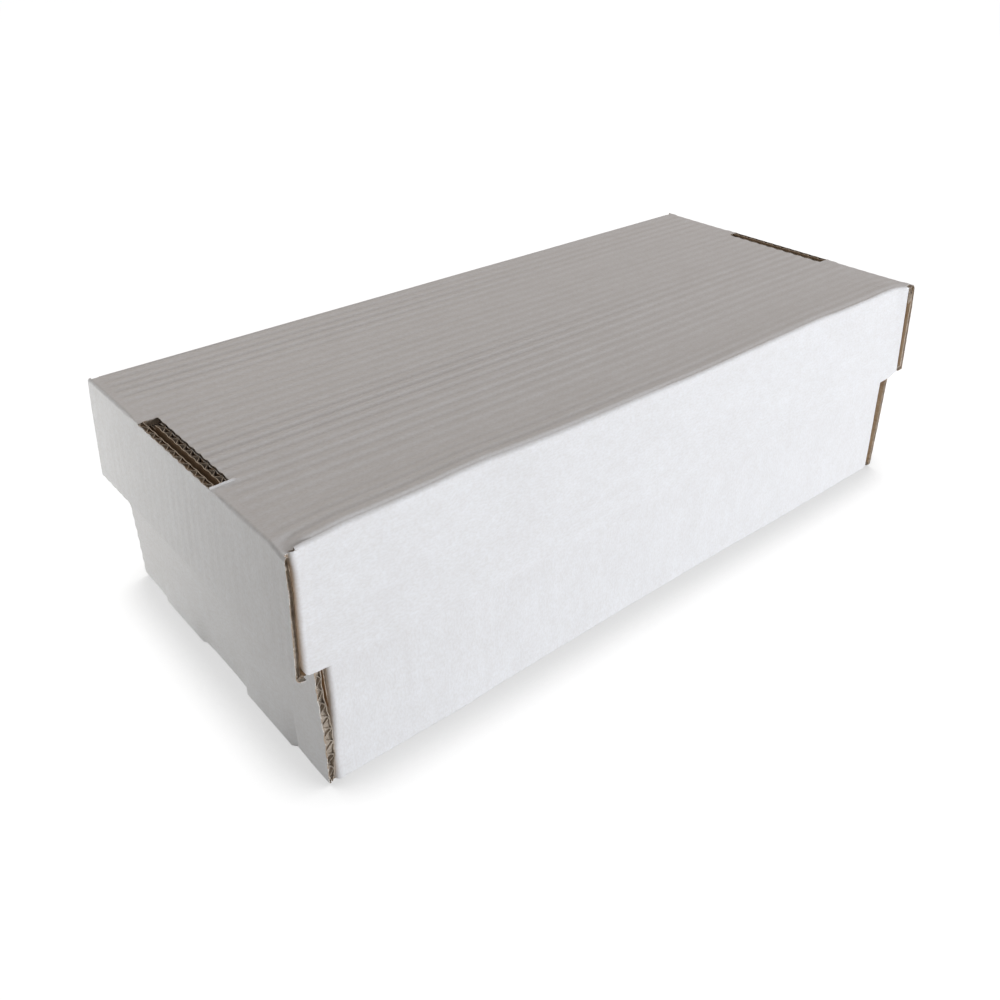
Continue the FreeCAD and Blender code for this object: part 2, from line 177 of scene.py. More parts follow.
class Tray:
    """One folded sheet, main panel down on z = 0, in its own frame.

    The slots and the tabs in them stand at places across each end crease, and radii are those of
    the side crease, the end crease and the flaps' turn. The washboard is how deep the flutes show
    through the panel, the long walls and the end walls. Lengths along the blank from its middle
    are written a, and those across it b.
    """

    def __init__(self, size, flap, slot, tab, places, tab_shift, rim_drop, radii, flutes_along,
                 washboard, phase, drift, shape):
        length, width, self.depth = size
        self.half_length, self.half_width = length / 2, width / 2
        self.side_radius, self.end_radius, self.turn_radius = radii
        self.slots = [(p - slot / 2, p + slot / 2) for p in places]
        self.tabs = [(p + tab_shift - tab / 2, p + tab_shift + tab / 2) for p in places]
        self.flutes_along, self.phase, self.drift = flutes_along, phase, drift
        self.washboard, self.shape = washboard, shape
        self.lay_out_end()
        self.lay_out_side(rim_drop)
        self.lay_out_flap(flap)

    def lay_out_end(self):
        """Lengths along the middle of the blank, from the panel to the tip of a tab."""
        crease, rim = self.end_radius * QUARTER, RIM * QUARTER
        height = self.depth - self.end_radius - RIM
        self.slot_in = self.half_length - SLOT_DEPTH
        self.bend = self.half_length - self.end_radius
        self.wall = self.bend + crease
        self.slot_edge = self.wall - (self.end_radius - EDGE_RECESS)
        self.spread = self.bend + SPREAD_SHARE * crease
        self.rim = self.wall + height
        self.rim_top = self.rim + rim
        self.narrow = self.rim_top + ROLL_START
        self.rim_end = self.rim_top + STACK - 2 * RIM
        self.inner = self.rim_end + rim
        self.foot = self.inner + self.depth - RIM - LAYER
        self.tip = self.foot + LAYER - TAB_RECESS
        self.end_line = FoldLine((self.bend, 0), (crease, self.end_radius), (height, 0), (rim, RIM),
                                 (STACK - 2 * RIM, 0), (rim, RIM), (self.depth, 0))

    def lay_out_side(self, rim_drop):
        """Lengths across the blank, from the panel to the rim of a long wall."""
        crease = self.side_radius * QUARTER
        self.side_bend = self.half_width - self.side_radius
        self.side_wall = self.side_bend + crease
        self.side_top = self.side_bend + crease * TURN_SHARE
        self.side_rim = self.side_wall + self.depth - rim_drop - self.side_radius
        self.side_line = FoldLine((self.side_bend, 0), (crease, self.side_radius), (self.depth, 0))
        self.lap = self.half_width - LAYER - ROLL_EASE

    def lay_out_flap(self, flap):
        """Lengths along a long wall, to the end of the flap that it turns in behind the end."""
        crease = self.turn_radius * QUARTER
        self.side_end = self.half_length - LAYER - self.turn_radius
        self.turned = self.side_end + crease
        self.flap_end = self.turned + flap - self.turn_radius
        self.turn_line = FoldLine((self.side_end, 0), (crease, self.turn_radius), (flap, 0))

    # -- the flat blank

    def along_lines(self):
        """Where the grid is divided along the tray."""
        marks = [0, self.slot_in, self.side_end, self.bend, self.spread, self.slot_edge,
                 self.wall, self.rim, self.rim_top, self.narrow, self.rim_end, self.inner,
                 self.foot, self.tip, self.turned, self.flap_end]
        marks += [self.slot_in - d for d in (1.2, 2.4, 4.0)]       # closer lines beside a cut
        marks += [self.slot_edge + d for d in (0.6, 1.6)] + [self.tip - 0.7]
        marks += divided(self.bend, self.wall, 10) + divided(self.side_end, self.turned, 8)
        marks += divided(self.rim, self.rim_top, 8) + divided(self.rim_end, self.inner, 8)
        return self.lines(marks, self.tip, cross_flutes=not self.flutes_along)

    def across_lines(self):
        """Where the grid is divided across the tray."""
        marks = [0, self.side_bend, self.lap, self.half_width, self.side_wall, self.side_rim]
        marks += [self.half_width - d for d in (0.5, 1.4)]
        marks += [self.side_rim - d for d in (0.5, 1.4, 3.0)]
        marks += divided(self.side_bend, self.side_wall, 8)
        marks += [abs(end) for span in self.slots + self.tabs for end in span]
        outermost = max(high for low, high in self.slots)
        marks += [outermost + LIP_WIDTH, outermost + 2 * LIP_WIDTH]
        return self.lines(marks, self.side_rim, cross_flutes=self.flutes_along)

    def lines(self, marks, end, cross_flutes):
        """Grid lines on both sides of the middle: the marks, and enough others between them."""
        marks = merged(sorted(m for m in marks if m <= end + TINY))
        if cross_flutes:
            return self.flute_lines(sorted({-m for m in marks} | set(marks)), end)
        lines = [marks[-1]]
        for low, high in zip(marks, marks[1:]):
            lines += divided(low, high, max(1, math.ceil((high - low) / COARSE)))[:-1]
        return sorted({-m for m in lines} | set(lines))

    def flute_lines(self, marks, end):
        """The marks, and four lines to each flute where they don't crowd a mark."""
        step = PITCH / 4
        shift = -self.phase * PITCH / (2 * math.pi)
        count = int(end / step) + 1
        extra = [shift + step * k for k in range(-count, count + 1)]
        extra = [x for x in extra
                 if abs(x) < end and min(abs(x - m) for m in marks) > 0.35 * step]
        return sorted(marks + extra)

    def cell(self, u, v):
        """None where the blank is cut away, 1 where an end wall hangs straight in a slot, or 0."""
        a, b = abs(u), abs(v)
        in_slot = any(low < v < high for low, high in self.slots)
        if in_slot and self.slot_in < a < self.slot_edge:
            return None
        if a < self.side_end:
            return 0 if b < self.side_rim else None
        if b < (self.half_width if self.spread < a else self.side_bend):
            if a > self.narrow and b > self.lap:
                return None
            in_tab = any(low < v < high for low, high in self.tabs)
            if a > (self.tip if in_tab else self.foot):
                return None
            return 1 if in_slot and a < self.wall else 0
        top = self.side_top if a < self.turned else self.side_wall
        return 0 if top < b < self.side_rim and a < self.flap_end else None

    def is_worn_shaded_edge(self, u, v):
        """Whether a place is on the near side edge of the left end wall, which is worn, and painted
        darker there as shade.
        """
        return u < -self.spread and v * self.shape.near > self.lap + 0.1

    def pocket(self, u, crosswise):
        """How far a cut edge stands open: unevenly, and less, where the board is crushed."""
        if crosswise:
            return POCKET
        if self.slot_in < abs(u) < self.slot_edge:
            return SLIT_POCKET
        if abs(u) < self.bend:
            return POCKET
        if u > 0:
            return 0.8 + 0.3 * math.sin(u / 1.7)
        if self.flutes_along:
            return 1.2 + 0.4 * math.sin(u / 2.7)
        return 1.2 + 0.4 * math.sin(u / 2.1) + 0.3 * math.sin(u / 5.3)

    # -- folding

    def fold(self, u, v, depth, straight=0):
        """The folded place of a point of the blank."""
        a, b = abs(u), abs(v)
        depth += self.wave(u, v)
        wander = self.shape.wander(u, v)
        if self.is_side(a, b):
            x, y, z = self.fold_side(a, b, depth, wander)
            x, y = math.copysign(x, u), math.copysign(y, v)
            wide, broad, up = self.shape.lean_side(x, y, z, wander)
        else:
            pulled = rise(a, self.wall + (WANDER_LEFT if u < 0 else WANDER_RIGHT), self.wall)
            y = b - wander * pulled * rise(b, self.side_bend - WANDER_RUN, self.side_bend)
            if straight and a < self.wall:
                x, z = self.half_length - depth, self.end_radius - (self.wall - a)
            else:
                x, z = self.fold_end(u, v, depth)
            x, y = math.copysign(x, u), math.copysign(y, v)
            wide, broad, up = self.shape.lean_end(x, y, z)
            broad *= abs(y) / self.half_width * rise(a, self.bend, self.bend + 3)
        wide *= abs(x) / self.half_length
        return x + wide * math.copysign(1, x), y + broad * math.copysign(1, y), z + up

    def is_side(self, a, b):
        """Whether a place is on a long wall or its flaps, and not on the panel or an end wall."""
        turning = b > self.side_top - 0.01 and a < self.turned + 0.01
        return b > self.side_bend and (a <= self.side_end or turning or b > self.half_width + 0.4)

    def fold_side(self, a, b, depth, wander):
        """A place on a long wall, or on the flap that it turns in."""
        b -= self.top_drop(a) * rise(b, self.side_rim - 14, self.side_rim)
        depth = crushed(depth, b, self.side_bend, self.side_wall, self.side_radius)
        stretch = wander * max(b - self.side_wall, 0) / (self.side_rim - self.side_wall)
        y, z = self.side_line.at(b + stretch, depth)
        if a <= self.side_end:
            return a, y - wander, z
        depth = crushed(depth, a, self.side_end, self.turned, self.turn_radius)
        x, inwards = self.turn_line.at(a, depth)
        return x, self.half_width - inwards - wander, z

    def fold_end(self, u, v, depth):
        """How far along and up a place on the panel or an end wall is."""
        a = abs(u)
        full = depth = self.shape.split(u, v, depth, self)
        depth = crushed(depth, a, self.bend, self.wall, self.end_radius)
        x, z = self.end_line.at(a, depth)
        sharp = self.sharpness(u, v)
        if self.bend < a < self.wall:
            high = min(full, self.end_radius)
            first, second = square_corner(a, self.bend, self.wall, self.end_radius - high)
            x += (self.bend + first - x) * sharp
            z += (high + second - z) * sharp
        elif u > 0 and self.rim < a < self.rim_top:
            first, second = square_corner(a, self.rim, self.rim_top, RIM - depth)
            x += (self.half_length - depth - second - x) * sharp
            z += (self.depth - RIM + first - z) * sharp
        return x, z

    def sharpness(self, u, v):
        """How square the end crease is: most at the ends of a cut that runs along it."""
        gap = min(max(low - v, v - high) for low, high in self.slots)
        if u > 0:
            gap = min(gap, self.half_width - abs(v))
        return 0.9 * rise(gap, 12, 0)

    def top_drop(self, a):
        """How much lower a long wall's cut edge is round its turn, to clear the rolled rim."""
        return LAYER * rise(a, self.side_end + 0.2, self.side_end + 3.8)

    # -- flutes

    def across_flutes(self, u, v):
        """The place across the flutes, which run a little askew towards one end."""
        return v + self.drift * (rise(u, 0, 120) - 0.5) if self.flutes_along else u

    def wave(self, u, v):
        """The liners' dip between flutes, and the sheet's slight unevenness."""
        a, b, w = abs(u), abs(v), self.across_flutes(u, v)
        panel, side_wall, end_wall = self.washboard
        on_wall = end_wall if a > self.bend else side_wall
        off_panel = max(a - self.bend, b - self.side_bend)
        shown = on_wall + (panel * self.shape.worn(u) - on_wall) * rise(off_panel, 4, 0)
        varied = 1 + 0.35 * math.sin(w / 13.7 + 0.6) + 0.2 * math.sin(w / 5.9)
        strength = varied * shown * self.off_crease(a, b) + NEAR_CUT * self.near_cut(a, b)
        uneven = 0.05 * math.sin(u / 37 + 1.3) * math.sin(v / 29 + 0.4)
        uneven += 0.04 * math.sin(u / 17 - v / 23)
        return strength * math.cos(2 * math.pi * w / PITCH + self.phase) + uneven

    def off_crease(self, a, b):
        """0 on a crease across the flutes, which irons them flat, rising to 1 beside it."""
        if self.flutes_along:
            away = max(self.bend - a, a - self.wall)
        else:
            away = max(self.side_bend - b, b - self.side_wall)
        return rise(away, -0.5, 5.5)

    def near_cut(self, a, b):
        """1 at a cut across the flutes, falling to 0 a few millimetres from it."""
        if self.flutes_along:
            gap = min(abs(a - self.slot_edge), abs(a - self.tip))
        elif a > self.spread and b < self.half_width + 0.5:
            gap = self.half_width - b
        else:
            gap = self.side_rim - b
        return rise(gap, 2.5, 0)

    def medium_depth(self, u, v):
        """How deep the middle of the fluted sheet lies, a little unevenly."""
        w = self.across_flutes(u, v)
        swing = BOARD / 2 - LINER - MEDIUM / 2 + 0.03
        uneven = 0.35 * math.sin(w / 8.3 + 0.7) + 0.3 * math.sin(w / 3.1)
        return BOARD / 2 + swing * math.cos(2 * math.pi * w / PITCH + self.phase + uneven)


# ---------------------------------------------------------------- from blank to mesh

# The levels of a cut edge: the white face, the inner side of each liner, both at the cut and at
# the back of the pocket between the liners, and the brown face.
DEPTHS = (0.0, LINER, LINER, BOARD - LINER, BOARD - LINER, BOARD)
SET_BACK = (False, False, True, True, False, False)
WHITE_LEVEL, KRAFT_LEVEL = 0, 5

# The finishes from level to level: a liner's cut, three sides of the pocket, a liner's cut.
OPEN_EDGE = (WHITE_CUT, HOLLOW_SHADE, HOLLOW_SHADE, HOLLOW_SHADE, CUT)      # flutes seen end on: the dark of the tubes is painted shade
CLOSED_EDGE = (WHITE_CUT, INSIDE, INSIDE, INSIDE, CUT)
# a worn edge: crushed board, painted darker as shade in its pocket and on the inner liner's cut
WORN_SHADED_EDGE = (WHITE_CUT, WORN_AND_SHADED, WORN_AND_SHADED, WORN_AND_SHADED, WORN_AND_SHADED)
GROOVED_EDGE = (WHITE_CUT, WORN_AND_SHADED, WORN_AND_SHADED, WORN_AND_SHADED, HOLLOW_SHADE)      # a cut that opens one flute: crushed board painted darker as shade, its inner liner's cut painted shade

# The sides of a cell are numbered round it, from the one with the least v.
INWARDS = (1, -1, -1, 1)               # which way a side's board lies
CROSSWISE = (False, True, False, True)                    # the sides that run across the tray


class BoardMesh:
    """A folded blank: its points, their places in the flat, its faces and their finishes.

    A node is a crossing of two grid lines, (i, j, straight), where straight is 1 on the part of
    an end wall that hangs straight in a slot beside the rounded crease.
    """

    def __init__(self, tray):
        self.tray = tray
        self.us, self.vs = tray.along_lines(), tray.across_lines()
        self.points, self.flat, self.faces, self.finish = [], [], [], []
        self.index = {}
        rings = self.cell_rings()
        cuts = self.cut_edges(rings)
        self.moves = self.pocket_moves(cuts)
        for ring in rings:
            self.add_face([self.vertex(node, WHITE_LEVEL) for node in reversed(ring)], WHITE)
            self.add_face([self.vertex(node, KRAFT_LEVEL) for node in ring], KRAFT)
        for (p, q), side in cuts.items():
            self.add_cut(p, q, side)
        for run in self.cut_runs(cuts):
            self.add_medium(*run)

    def cell_rings(self):
        """The four nodes round each cell that has board."""
        rings = []
        for i, (u0, u1) in enumerate(zip(self.us, self.us[1:])):
            for j, (v0, v1) in enumerate(zip(self.vs, self.vs[1:])):
                kind = self.tray.cell((u0 + u1) / 2, (v0 + v1) / 2)
                if kind is not None:
                    corners = ((i, j), (i + 1, j), (i + 1, j + 1), (i, j + 1))
                    rings.append([(k, m, int(kind and abs(self.us[k]) < self.tray.wall - TINY))
                                  for k, m in corners])
        return rings

    @staticmethod
    def cut_edges(rings):
        """The edges with board on one side only, each with the number of its cell's side."""
        edges = {}
        for ring in rings:
            for side, (p, q) in enumerate(zip(ring, ring[1:] + ring[:1])):
                edges[p, q] = side
        return {(p, q): side for (p, q), side in edges.items() if (q, p) not in edges}

    def pocket_moves(self, cuts):
        """How far the pocket behind each cut edge reaches into the sheet, by node and axis."""
        moves = {}
        for (p, q), side in cuts.items():
            slit = (p[2] or q[2]) and not CROSSWISE[side]
            middle = (self.us[p[0]] + self.us[q[0]]) / 2
            reach = 0 if slit else INWARDS[side] * self.tray.pocket(middle, CROSSWISE[side])
            for end in (p, q):
                move = moves.setdefault(end, {})
                axis = 0 if CROSSWISE[side] else 1
                if move.get(axis) != 0:
                    move[axis] = reach
        return moves

    def vertex(self, node, level):
        """The point of a node at one level of the board, made when it is first asked for."""
        shift = (0, 0)
        if SET_BACK[level]:
            move = self.moves.get(node, {})
            shift = move.get(0, 0), move.get(1, 0)
            if shift == (0, 0):                    # no pocket here, so the level at the cut
                level = 1 if level == 2 else 4
        name = node, level
        if name not in self.index:
            u, v = self.us[node[0]] + shift[0], self.vs[node[1]] + shift[1]
            self.index[name] = self.add_point(u, v, DEPTHS[level], node[2])
        return self.index[name]

    def add_point(self, u, v, depth, straight):
        """The number of a new point, folded to its place."""
        self.points.append(self.tray.fold(u, v, depth, straight))
        self.flat.append((u, v))
        return len(self.points) - 1

    def add_face(self, ring, finish):
        """A face through the numbered points of a ring."""
        self.faces.append(ring)
        self.finish.append(finish)

    def add_cut(self, p, q, side):
        """The cut edge between two nodes: both liners' cuts and the pocket between them."""
        # the worn near edge: crushed board, painted darker as shade
        if self.tray.is_worn_shaded_edge(self.us[p[0]], self.vs[p[1]]):
            edge = GROOVED_EDGE if self.tray.flutes_along else WORN_SHADED_EDGE
        elif self.tray.flutes_along and CROSSWISE[side] and abs(self.vs[p[1]]) < SLOT_SIGHT:
            edge = OPEN_EDGE
        else:
            edge = CLOSED_EDGE
        for level, finish in enumerate(edge):
            ring = [self.vertex(p, level), self.vertex(q, level),
                    self.vertex(q, level + 1), self.vertex(p, level + 1)]
            ring = [n for k, n in enumerate(ring) if n != ring[k - 1]]
            if len(ring) > 2:
                self.add_face(ring, finish)

    def cut_runs(self, cuts):
        """The cut edges, joined into straight runs: (side, fixed, low, high, straight)."""
        groups = {}
        for (p, q), side in cuts.items():
            straight = int(p[2] or q[2])
            if CROSSWISE[side]:
                fixed, span = self.us[p[0]], sorted((self.vs[p[1]], self.vs[q[1]]))
            elif not straight:
                fixed, span = self.vs[p[1]], sorted((self.us[p[0]], self.us[q[0]]))
            else:
                continue
            groups.setdefault((side, fixed, straight), []).append(span)
        runs = []
        for (side, fixed, straight), spans in groups.items():
            spans.sort()
            low, high = spans[0]
            for start, end in spans[1:]:
                if start - high > TINY:
                    runs.append((side, fixed, low, high, straight))
                    low = start
                high = end
            runs.append((side, fixed, low, high, straight))
        return runs

    def add_medium(self, side, fixed, low, high, straight):
        """The fluted sheet behind one straight run of cut edge, a thin closed strip."""
        tray, crosswise = self.tray, CROSSWISE[side]
        # on the worn edge the fluted sheet too is crushed board painted darker as shade
        worn = not crosswise and tray.is_worn_shaded_edge(low, fixed)
        if worn and tray.flutes_along:             # there the cut has opened a flute lengthwise
            return
        trim = 0.1 if crosswise else min(POCKET + 0.7, 0.3 * (high - low))
        low, high = low + trim, high - trim
        lines = self.vs if crosswise else self.us
        along = [low] + [x for x in lines if low + 0.2 < x < high - 0.2] + [high]
        inner = [MEDIUM_RECESS, POCKET + POCKET_BACK]
        if crosswise == tray.flutes_along:         # the cut crosses the flutes
            count = max(2, math.ceil((high - low) / (PITCH / 10)))
            along = merged(sorted(along + divided(low, high, count)), 0.2)
        else:
            inner = divided(*inner, 9)

        def grid(offset):
            """The points of one side of the strip, in rows from the cut inwards."""
            rows = []
            for x in along:
                row = []
                for reach in inner:
                    place = fixed + INWARDS[side] * reach
                    u, v = (place, x) if crosswise else (x, place)
                    row.append(self.add_point(u, v, tray.medium_depth(u, v) + offset, straight))
                rows.append(row)
            return rows

        flip = (INWARDS[side] > 0) == crosswise    # which way the strip's grid winds
        for ring in closed_strip(grid(-MEDIUM / 2), grid(MEDIUM / 2)):
            self.add_face(ring if flip else ring[::-1], WORN_AND_SHADED if worn else FLUTE)


def closed_strip(upper, lower):
    """The faces of a thin closed strip, from the grids of points on its two sides."""
    last, back = len(upper) - 1, len(upper[0]) - 1
    rings = []
    for i in range(last):
        for k in range(back):
            rings.append([upper[i][k], upper[i + 1][k], upper[i + 1][k + 1], upper[i][k + 1]])
            rings.append([lower[i][k], lower[i][k + 1], lower[i + 1][k + 1], lower[i + 1][k]])
        rings.append([upper[i][0], lower[i][0], lower[i + 1][0], upper[i + 1][0]])
        rings.append([upper[i][back], upper[i + 1][back], lower[i + 1][back], lower[i][back]])
    for k in range(back):
        rings.append([upper[0][k], upper[0][k + 1], lower[0][k + 1], lower[0][k]])
        rings.append([upper[last][k], lower[last][k], lower[last][k + 1], upper[last][k + 1]])
    return rings


# ---------------------------------------------------------------- how the trays have settled

LID_SLOT = 66.0         # length of the lid's slots
BASE_TABS = 40.0        # from the middle to each tab of the base

# where the lid's near long crease follows flutes instead of its score: (x, how far inside)
LID_NEAR_CREASE = ((-195, 1.2), (-184, 2.3), (-168, 3.4), (-140, 3.4), (-108, 4.4), (-90, 3.6),
                   (-68, 2.75), (-30, 2.6), (-8, 2.55), (16, 2.15), (56, 2.8), (88, 3.4),
                   (112, 3.8), (136, 3.0), (156, 2.8), (172, 3.1), (182, 2.7), (191, 0.4),
                   (220, 0.0))
# how far the foot of the base's near long wall stands out: (x, how far)
BASE_NEAR_FOOT = ((-186, 0.9), (-155, 1.2), (-122, 1.6), (-98, 0.8), (-60, 0.4), (-20, 0.0),
                  (50, 0.0), (95, 0.8), (186, 0.9))


def lid_wander(x):
    """How far inside its score the lid's near long crease has folded."""
    return along_curve(LID_NEAR_CREASE, x, eased=True)


def side_edge(u, v, tray):
    """1 along the near side edge of an end wall, where the board is squeezed, or 0."""
    a = abs(u)
    along = rise(a, tray.wall, tray.wall + 4) * rise(a, tray.rim_top, tray.rim_top - 4)
    return along * rise(v * tray.shape.near, tray.half_width - 4, tray.half_width)


class LidShape:
    """The lid in its own frame, panel down: its near long wall is at +y.

    Each lean says how far outwards along the tray and across it a point has moved, and up.
    """
    near = 1            # the sign of v on the near side
    LEFT_END = ((0, 0.0), (15, 0.5), (LID_DEPTH, 1.2))    # how far out an end wall leans, by z
    RIGHT_END = ((0, 0.3), (LID_DEPTH, 1.4))

    def wander(self, u, v):
        return lid_wander(u) if v > 0 else 0.0

    def lean_end(self, x, y, z):
        if x > 0:
            wide = along_curve(self.RIGHT_END, z) + self.push(x, y, z)
            return wide, 0.9, self.lift(x, y)
        down = z / LID_DEPTH
        broad = 0.3 * down + (0.8 if y > 0 else 0.0)
        return along_curve(self.LEFT_END, z), broad, self.lift(x, y) + self.sag(x, y, down)

    def lean_side(self, x, y, z, wander):
        wide = along_curve(self.RIGHT_END if x > 0 else self.LEFT_END, z)
        down = z / LID_DEPTH
        if y < 0:
            return wide, 1.2 * down, 0.0
        wide -= 0.9 * rise(z, 0, 12) * rise(x, -160, -186)
        bowed = 1.5 * rise(abs(x), 188, 118)
        return wide, down * (wander + 0.2 + bowed), self.lift(x, y)

    def sag(self, x, y, down):
        """How far the left end wall hangs lower, most at its near side, where the corner dips."""
        corner = rise(y, 76, 87) * rise(x, -181, -191)
        return down * (1.0 + 1.6 * rise(y, 0, 85)) + 1.6 * corner * (1 - down)

    def push(self, x, y, z):
        """How far the right slot's inner lip is pressed outwards, and the tab with it."""
        in_slot = rise(abs(y), LID_SLOT / 2 + 2 * LIP_WIDTH, LID_SLOT / 2)
        return 1.2 * in_slot * rise(x, 182, 186) * rise(x, 191, 189.5) * rise(z, 16, 4)

    def lift(self, x, y):
        """The panel's rise, upside down: towards the near crease, and as a lip at one slot."""
        if y < 0:
            return 0.0
        beside, lip = y - LID_SLOT / 2, 0.0
        if beside > -0.1:
            lip = 1.4 * max(LIP_WIDTH - beside, 0) * rise(x, -183, -185.4)
        return -0.25 * lid_wander(x) * rise(y, 55, 83) - lip

    def worn(self, u):
        """How much deeper the flutes show through the panel, most towards its left end."""
        return 0.8 + 0.75 * rise(u, 110, -80)

    def split(self, u, v, depth, tray):
        """The near left edge is squeezed."""
        return depth * (1 - 0.3 * side_edge(u, v, tray)) if u < 0 else depth


class BaseShape:
    """The base tray: its near long wall is at -y, and follows the lid's crease inside the lid."""
    near = -1           # the sign of v on the near side
    LEFT_END = ((0, -0.8), (25, 0.4), (50, 1.9), (62, 1.6), (80, 0.8), (BASE_HEIGHT, 0.0))
    RIGHT_END = ((0, -1.5), (25, 0.2), (56, 1.6), (80, 0.8), (BASE_HEIGHT, 0.0))

    def wander(self, u, v):
        return 0.0

    def lean_end(self, x, y, z):
        wide = along_curve(self.RIGHT_END if x > 0 else self.LEFT_END, z)
        wide += self.foot(x, y) * rise(z, 25, 0)
        broad = 1.3 if x > 0 else 1.3 - 0.8 * min(z / 60, 1)
        pressed = lid_wander(x) if y < 0 else 0.0
        return wide, broad - (broad + pressed) * self.under_lid(z), 0.0

    def lean_side(self, x, y, z, wander):
        wide = along_curve(self.RIGHT_END if x > 0 else self.LEFT_END, z)
        if y > 0:
            return wide, 0.0, 0.0
        gap = 3.4 * rise(z, 6, 40) * rise(x, -150, -178)
        bulge = along_curve(BASE_NEAR_FOOT, x, eased=True) * rise(z, 50, 0)
        tucked = rise(z, 0, 40) * rise(x, -120, -170) * (1 - self.under_lid(z))
        return wide - gap, bulge - tucked - self.under_lid(z) * lid_wander(x), 0.0

    @staticmethod
    def under_lid(z):
        """How much the lid holds the wall at a height."""
        return rise(z, 58, 104)

    def foot(self, x, y):
        """How far the tabs push the left end wall out at its foot, and its near corner."""
        if x > 0:
            return 0.0
        at_slot = rise(abs(abs(y) - BASE_TABS), 20.5, 18.5)
        return at_slot * (1.5 if y < 0 else 0.9) + 0.7 * rise(y, -63, -71)

    def worn(self, u):
        return 1.0

    def split(self, u, v, depth, tray):
        """The near left edge has come open: its inner liner stands off over part of the height."""
        if u > 0:
            return depth * (1 - 0.2 * side_edge(u, v, tray))
        if v > 0:
            return depth
        height = abs(u) - tray.wall + tray.end_radius
        open_here = rise(height, 5, 17) * rise(height, 46, 26)
        open_here *= rise(-v, tray.half_width - 3, tray.half_width)
        return depth + 1.1 * open_here * rise(depth / BOARD, 0.55, 0.85)


# ---------------------------------------------------------------- the two trays

base_tray = Tray(BASE_SIZE, flap=60, slot=41, tab=37, places=(BASE_TABS, -BASE_TABS), tab_shift=0,
                 rim_drop=0.2, radii=(0.9, 1.8, 2.4), flutes_along=False,
                 washboard=(0.05, 0.02, 0.02), phase=0.0, drift=0.0, shape=BaseShape())
lid_tray = Tray(LID_SIZE, flap=52, slot=LID_SLOT, tab=60.5, places=(0,), tab_shift=2.0,
                rim_drop=0.1, radii=(1.6, 1.5, 2.2), flutes_along=True,
                washboard=(0.2, 0.035, 0.07), phase=2.625, drift=1.0, shape=LidShape())


def board_object(name, tray, top, materials):
    """A tray's board as an object, standing at z = 0, or turned over with its panel at top."""
    board = BoardMesh(tray)
    points = board.points if top is None else [(x, -y, top - z) for x, y, z in board.points]
    mesh = bpy.data.meshes.new(name)
    mesh.from_pydata([(x * MM, y * MM, z * MM) for x, y, z in points], [], board.faces)
    for material in materials:
        mesh.materials.append(material)
    mesh.polygons.foreach_set("material_index", board.finish)
    sheet = mesh.uv_layers.new(name="sheet")       # decimetres on the flat, x along the flutes
    for loop in mesh.loops:
        u, v = board.flat[loop.vertex_index]
        along, across = (u, v) if tray.flutes_along else (v, u)
        sheet.uv[loop.index].vector = along / 100, across / 100
    mesh.polygons.foreach_set("use_smooth", [True] * len(mesh.polygons))
    mesh.set_sharp_from_angle(angle=math.radians(38))
    mesh.validate()
    piece = bpy.data.objects.new(name, mesh)
    bpy.context.scene.collection.objects.link(piece)
    triangles = sum(len(face.vertices) - 2 for face in mesh.polygons)
    print(name, len(mesh.vertices), "vertices", triangles, "triangles")
    return piece


# ---------------------------------------------------------------- materials

class Nodes:
    """The node tree of a material or a world, with short ways to fill it."""

    def __init__(self, owner):
        owner.use_nodes = True
        self.tree = owner.node_tree

    def add(self, kind, inputs=None, **settings):
        """A new node, each of its inputs given a value or linked to another node's output."""
        made = self.tree.nodes.new("ShaderNode" + kind)
        for setting, value in settings.items():
            setattr(made, setting, value)
        for socket, value in (inputs or {}).items():
            if isinstance(value, bpy.types.NodeSocket):
                self.tree.links.new(value, made.inputs[socket])
            else:
                made.inputs[socket].default_value = value
        return made

    def show_camera(self, seen, unseen, output):
        """Let the camera see one shader, and every other ray another."""
        path = self.add("LightPath")
        choice = self.add("MixShader", {"Fac": path.outputs["Is Camera Ray"],
                                        1: unseen.outputs[0], 2: seen.outputs[0]})
        self.add(output, {"Surface": choice.outputs[0]})


class Paper(Nodes):
    """A paper surface: colours mixed by its fibres, with their relief."""

    def __init__(self, name, roughness):
        self.material = bpy.data.materials.new(name)
        super().__init__(self.material)
        self.shader = self.tree.nodes["Principled BSDF"]
        self.shader.inputs["Roughness"].default_value = roughness
        self.shader.inputs["Specular IOR Level"].default_value = 0.3
        self.sheet = self.add("UVMap", uv_map="sheet")

    def fibres(self, along, across, detail=4.0, roughness=0.6, shift=0.0):
        """Noise on the flat sheet, its grain so many cycles to the decimetre each way."""
        place = self.add("Mapping", {"Vector": self.sheet.outputs[0],
                                     "Location": (shift, 2 * shift, 0),
                                     "Scale": (along, across, 1)})
        noise = self.add("TexNoise", {"Vector": place.outputs[0], "Scale": 1.0,
                                      "Detail": detail, "Roughness": roughness},
                         noise_dimensions="2D")
        return noise.outputs[0]

    def ramp(self, value, low, high, bottom=0.0, top=1.0):
        """A value fitted from one range to another."""
        fitted = self.add("MapRange", {"Value": value, "From Min": low, "From Max": high,
                                       "To Min": bottom, "To Max": top})
        return fitted.outputs[0]

    def mix(self, amount, *colours):
        """Two colours mixed, each a socket or red, green and blue."""
        mixed = self.add("Mix", {"Factor": amount}, data_type="RGBA")
        for socket, colour in zip((mixed.inputs[6], mixed.inputs[7]), colours):
            if isinstance(colour, bpy.types.NodeSocket):
                self.tree.links.new(colour, socket)
            else:
                socket.default_value = (*colour, 1)
        return mixed.outputs[2]

    def finish(self, colour, relief, height, roughness=None):
        """The material, with its relief's height in millimetres."""
        bump = self.add("Bump", {"Height": relief, "Distance": height * MM, "Strength": 1.0})
        self.tree.links.new(colour, self.shader.inputs["Base Color"])
        self.tree.links.new(bump.outputs[0], self.shader.inputs["Normal"])
        if roughness is not None:
            self.tree.links.new(roughness, self.shader.inputs["Roughness"])
        return self.material


